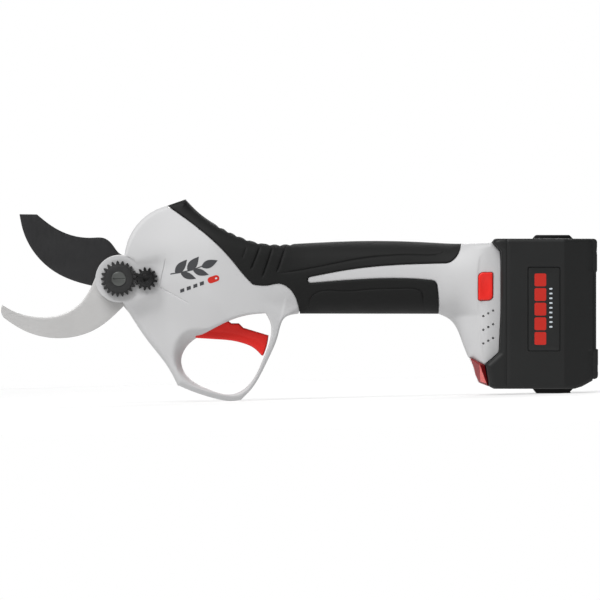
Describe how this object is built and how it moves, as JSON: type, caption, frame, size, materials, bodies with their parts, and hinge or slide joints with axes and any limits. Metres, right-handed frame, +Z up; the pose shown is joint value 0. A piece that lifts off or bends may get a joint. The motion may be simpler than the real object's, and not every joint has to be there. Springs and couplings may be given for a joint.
{
  "type": "battery electric pruner",
  "caption": "Inline electric pruner: hook blade, curved moving blade, geared drive in a two-part housing with soft grips, trigger in a finger guard, slide-off battery pack.",
  "frame": {"origin": "centre of the overall length and width, at the underside of the finger guard", "axes": "+X along the tool from the blades to the battery, +Y across it away from the blade adjuster's side, +Z up from the finger guard to the back of the handle"},
  "size_m": [0.3275, 0.061, 0.1108],
  "materials": {
    "shell_white": "satin moulded, light grey",
    "grip_black": "fine matte over-mould",
    "blade_dark": "dark low-friction coating",
    "hook_steel": "fine satin grind",
    "gear_black": "black oxide",
    "bolt_steel": "turned and oxidised",
    "steel": "machined",
    "bronze": "sintered",
    "motor_silver": "turned",
    "copper": "enamelled winding",
    "lamination": "stacked sheets",
    "board_green": "solder mask",
    "signal_red": "satin gloss moulded",
    "lens_red": "tinted clear",
    "battery_black": "fine spark-eroded texture",
    "latch_black": "smooth",
    "label_dark": "printed film",
    "cell_blue": "shrink sleeve",
    "nickel": "rolled",
    "holder_grey": "moulded",
    "wire_black": "insulation",
    "magnet": "plated"
  },
  "bodies": {
    "body": {"housing_left": "shell_white", "housing_right": "shell_white", "grip_left": "grip_black", "grip_right": "grip_black", "fixed_blade": "hook_steel", "thrust_washer": "bronze", "pivot_nut": "steel", "pinion_axle": "gear_black", "blade_locating_pins": "steel", "output_bearings": "bronze", "gearbox_case": "steel", "motor_can": "motor_silver", "motor_stator": "lamination", "motor_bearings": "steel", "motor_end_bell": "holder_grey", "phase_wires": "wire_black", "control_board": "board_green", "trigger_pin": "steel", "trigger_spring": "steel", "hall_sensor": "board_green", "button_switch": "board_green", "sounder": "holder_grey", "status_lens": "lens_red", "lamp_board": "board_green", "terminal_block": "holder_grey", "dock_contacts": "copper", "housing_screws": "gear_black"},
    "blade": {"moving_blade": "blade_dark", "drive_sector": "steel", "sector_screws": "steel", "pivot_bush": "bronze"},
    "adjuster": {"adjuster_gear": "gear_black", "pivot_bolt": "bolt_steel"},
    "adjuster_pinion": {"adjuster_pinion": "gear_black"},
    "rotor": {"motor_rotor": "steel"},
    "first_carrier": {"first_carrier": "steel"},
    "output": {"output_shaft": "steel"},
    "trigger": {"trigger": "signal_red", "trigger_magnet": "magnet"},
    "power_button": {"power_button": "signal_red"},
    "battery": {"battery_case": "battery_black", "battery_cover": "battery_black", "case_screws": "steel", "battery_labels": "label_dark", "cells": "cell_blue", "cell_straps": "nickel", "cell_holders": "holder_grey", "protection_board": "board_green", "battery_contacts": "copper", "release_spring_top": "steel", "release_spring_bottom": "steel"},
    "release_top": {"release_button_top": "latch_black"},
    "release_bottom": {"release_button_bottom": "latch_black"},
    "planet_1_1": {"planet_1_1": "steel"},
    "planet_1_2": {"planet_1_2": "steel"},
    "planet_1_3": {"planet_1_3": "steel"},
    "planet_2_1": {"planet_2_1": "steel"},
    "planet_2_2": {"planet_2_2": "steel"},
    "planet_2_3": {"planet_2_3": "steel"}
  },
  "joints": [
    {"name": "motor_spin", "type": "hinge", "parent": "body", "child": "rotor", "pos_m": [0, 0, 0.0671], "axis": [1, 0, 0], "range_deg": [0, 6552]},
    {"name": "first_carrier_spin", "type": "hinge", "parent": "body", "child": "first_carrier", "pos_m": [0, 0, 0.0671], "axis": [1, 0, 0], "range_deg": [0, 1092]},
    {"name": "output_spin", "type": "hinge", "parent": "body", "child": "output", "pos_m": [0, 0, 0.0671], "axis": [1, 0, 0], "range_deg": [0, 182]},
    {"name": "blade_swing", "type": "hinge", "parent": "body", "child": "blade", "pos_m": [-0.0994, 0, 0.0671], "axis": [0, -1, 0], "range_deg": [0, 52]},
    {"name": "planet_1_1_spin", "type": "hinge", "parent": "first_carrier", "child": "planet_1_1", "pos_m": [0, 0, 0.0743], "axis": [1, 0, 0], "range_deg": [-2730, 0]},
    {"name": "planet_1_2_spin", "type": "hinge", "parent": "first_carrier", "child": "planet_1_2", "pos_m": [0, -0.00624, 0.0635], "axis": [1, 0, 0], "range_deg": [-2730, 0]},
    {"name": "planet_1_3_spin", "type": "hinge", "parent": "first_carrier", "child": "planet_1_3", "pos_m": [0, 0.00624, 0.0635], "axis": [1, 0, 0], "range_deg": [-2730, 0]},
    {"name": "planet_2_1_spin", "type": "hinge", "parent": "output", "child": "planet_2_1", "pos_m": [0, 0, 0.0743], "axis": [1, 0, 0], "range_deg": [-455, 0]},
    {"name": "planet_2_2_spin", "type": "hinge", "parent": "output", "child": "planet_2_2", "pos_m": [0, -0.00624, 0.0635], "axis": [1, 0, 0], "range_deg": [-455, 0]},
    {"name": "planet_2_3_spin", "type": "hinge", "parent": "output", "child": "planet_2_3", "pos_m": [0, 0.00624, 0.0635], "axis": [1, 0, 0], "range_deg": [-455, 0]},
    {"name": "adjuster_turn", "type": "hinge", "parent": "body", "child": "adjuster", "pos_m": [-0.0994, 0, 0.0671], "axis": [0, -1, 0], "range_deg": [-60, 60]},
    {"name": "adjuster_pinion_turn", "type": "hinge", "parent": "body", "child": "adjuster_pinion", "pos_m": [-0.0845, 0, 0.0671], "axis": [0, -1, 0], "range_deg": [-96.92, 96.92]},
    {"name": "trigger_pull", "type": "hinge", "parent": "body", "child": "trigger", "pos_m": [-0.0556, 0, 0.0435], "axis": [0, -1, 0], "range_deg": [0, 8], "stiffness_Nm_per_rad": 0.5, "springref_deg": -4.58, "deforming": ["trigger_spring"]},
    {"name": "power_button_press", "type": "slide", "parent": "body", "child": "power_button", "axis": [0, 1, 0], "range_m": [0, 0.001], "stiffness_N_per_m": 900, "springref_m": -0.001},
    {"name": "battery_slide", "type": "slide", "parent": "body", "child": "battery", "axis": [1, 0, 0], "range_m": [0, 0.02]},
    {"name": "release_top_press", "type": "slide", "parent": "battery", "child": "release_top", "axis": [0, 0, -1], "range_m": [0, 0.0025], "stiffness_N_per_m": 2000, "springref_m": -0.002, "deforming": ["release_spring_top"]},
    {"name": "release_bottom_press", "type": "slide", "parent": "battery", "child": "release_bottom", "axis": [0, 0, 1], "range_m": [0, 0.0025], "stiffness_N_per_m": 3000, "springref_m": -0.004, "deforming": ["release_spring_bottom"]}
  ],
  "couplings": [
    {"joint": "first_carrier_spin", "follows": "motor_spin", "ratio": 0.16667},
    {"joint": "output_spin", "follows": "motor_spin", "ratio": 0.027778},
    {"joint": "blade_swing", "follows": "motor_spin", "ratio": 0.0079365},
    {"joint": "planet_1_1_spin", "follows": "motor_spin", "ratio": -0.41667},
    {"joint": "planet_1_2_spin", "follows": "motor_spin", "ratio": -0.41667},
    {"joint": "planet_1_3_spin", "follows": "motor_spin", "ratio": -0.41667},
    {"joint": "planet_2_1_spin", "follows": "motor_spin", "ratio": -0.069444},
    {"joint": "planet_2_2_spin", "follows": "motor_spin", "ratio": -0.069444},
    {"joint": "planet_2_3_spin", "follows": "motor_spin", "ratio": -0.069444},
    {"joint": "adjuster_pinion_turn", "follows": "adjuster_turn", "ratio": -1.6154}
  ]
}
